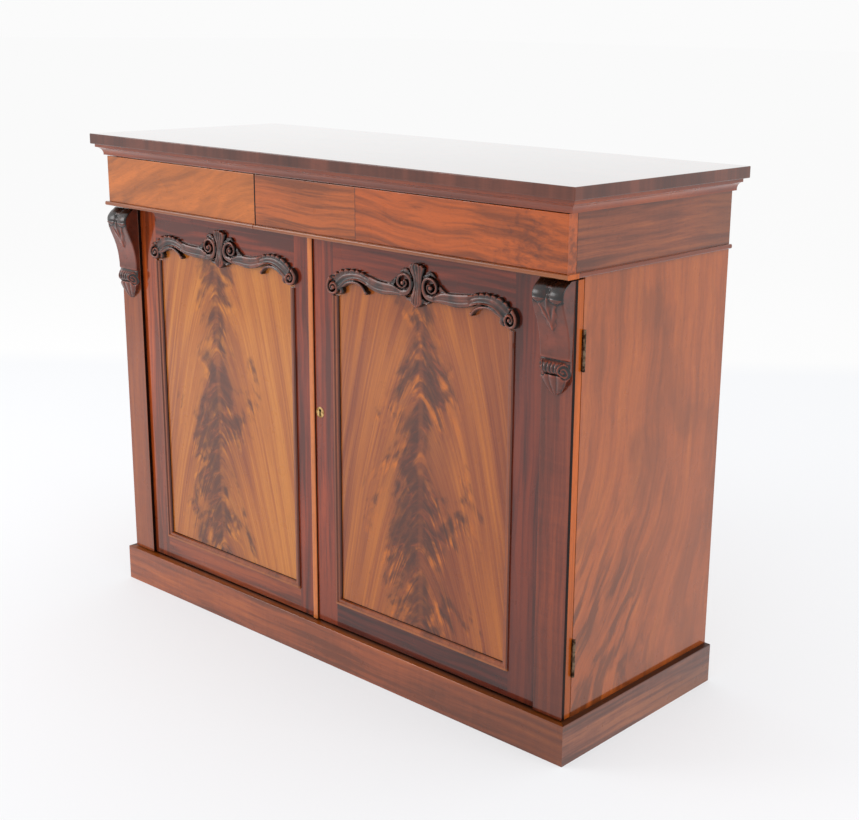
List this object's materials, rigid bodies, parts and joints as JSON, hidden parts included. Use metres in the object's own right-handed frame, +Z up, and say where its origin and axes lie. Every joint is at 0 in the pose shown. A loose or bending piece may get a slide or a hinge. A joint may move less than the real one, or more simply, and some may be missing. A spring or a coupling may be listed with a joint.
{
  "type": "side cabinet",
  "caption": "Mahogany side cabinet with framed cupboard doors under carved crests, corbelled pilasters, frieze drawers, a moulded top and a plain plinth.",
  "frame": {"origin": "middle of the outline, on the floor", "axes": "+X to the right along the front, +Y from front to back, +Z up"},
  "size_m": [1.18, 0.463, 0.915],
  "materials": {
    "polished_mahogany": "French polished mahogany",
    "frame_mahogany": "French polished mahogany, darkened with age",
    "mahogany_veneer": "figured mahogany veneer, French polished",
    "flame_mahogany": "flame-figured mahogany veneer, French polished",
    "carved_mahogany": "carved mahogany, dark polish",
    "bead_mahogany": "planed mahogany bead, French polished",
    "pine": "planed pine, unfinished, aged",
    "drawer_oak": "planed oak, unfinished",
    "brass": "aged brass, dull",
    "steel": "drawn steel rod, aged"
  },
  "bodies": {
    "carcass": {"top_board": "polished_mahogany", "cornice_front": "polished_mahogany", "cornice_returns": "polished_mahogany", "side_left": "mahogany_veneer", "side_right": "mahogany_veneer", "frieze_side_left": "polished_mahogany", "frieze_side_right": "polished_mahogany", "side_beads": "bead_mahogany", "plinth_front": "polished_mahogany", "plinth_left": "polished_mahogany", "plinth_right": "polished_mahogany", "plinth_back": "pine", "plinth_blocks": "pine", "cupboard_floor": "pine", "frieze_floor": "pine", "case_rails": "pine", "bearers": "pine", "drawer_divider": "pine", "back_boards": "pine", "shelf": "pine", "case_hinge_leaves": "brass"},
    "left_door": {"left_door_hinge_stile": "frame_mahogany", "left_door_meeting_stile": "frame_mahogany", "left_door_top_rail": "frame_mahogany", "left_door_bottom_rail": "frame_mahogany", "left_door_panel": "flame_mahogany", "left_door_panel_beads": "frame_mahogany", "left_door_pilaster": "frame_mahogany", "left_door_corbel": "carved_mahogany", "left_door_crest": "carved_mahogany", "left_door_hinge_leaves": "brass", "left_door_fittings": "brass"},
    "right_door": {"right_door_hinge_stile": "frame_mahogany", "right_door_meeting_stile": "frame_mahogany", "right_door_top_rail": "frame_mahogany", "right_door_bottom_rail": "frame_mahogany", "right_door_panel": "flame_mahogany", "right_door_panel_beads": "frame_mahogany", "right_door_pilaster": "frame_mahogany", "right_door_corbel": "carved_mahogany", "right_door_crest": "carved_mahogany", "right_door_hinge_leaves": "brass", "right_door_astragal": "bead_mahogany", "right_door_escutcheon": "brass", "right_door_lock_case": "brass"},
    "lock_bolt": {"lock_bolt": "brass"},
    "top_bolt": {"top_bolt": "steel"},
    "bottom_bolt": {"bottom_bolt": "steel"},
    "left_drawer": {"left_drawer_front": "mahogany_veneer", "left_drawer_bead": "bead_mahogany", "left_drawer_side_left": "drawer_oak", "left_drawer_side_right": "drawer_oak", "left_drawer_back": "drawer_oak", "left_drawer_bottom": "drawer_oak"},
    "right_drawer": {"right_drawer_front": "mahogany_veneer", "right_drawer_bead": "bead_mahogany", "right_drawer_side_left": "drawer_oak", "right_drawer_side_right": "drawer_oak", "right_drawer_back": "drawer_oak", "right_drawer_bottom": "drawer_oak"}
  },
  "joints": [
    {"name": "left_door_hinge", "type": "hinge", "parent": "carcass", "child": "left_door", "pos_m": [-0.5677, -0.16915, 0.0702], "axis": [0, 0, -1], "range_deg": [0, 170]},
    {"name": "right_door_hinge", "type": "hinge", "parent": "carcass", "child": "right_door", "pos_m": [0.5677, -0.16915, 0.0702], "axis": [0, 0, 1], "range_deg": [0, 170]},
    {"name": "left_drawer_slide", "type": "slide", "parent": "carcass", "child": "left_drawer", "axis": [0, -1, 0], "range_m": [0, 0.3]},
    {"name": "right_drawer_slide", "type": "slide", "parent": "carcass", "child": "right_drawer", "axis": [0, -1, 0], "range_m": [0, 0.3]},
    {"name": "lock_bolt_slide", "type": "slide", "parent": "right_door", "child": "lock_bolt", "axis": [-1, 0, 0], "range_m": [0, 0.009]},
    {"name": "top_bolt_slide", "type": "slide", "parent": "left_door", "child": "top_bolt", "axis": [0, 0, 1], "range_m": [0, 0.012]},
    {"name": "bottom_bolt_slide", "type": "slide", "parent": "left_door", "child": "bottom_bolt", "axis": [0, 0, -1], "range_m": [0, 0.012]}
  ]
}
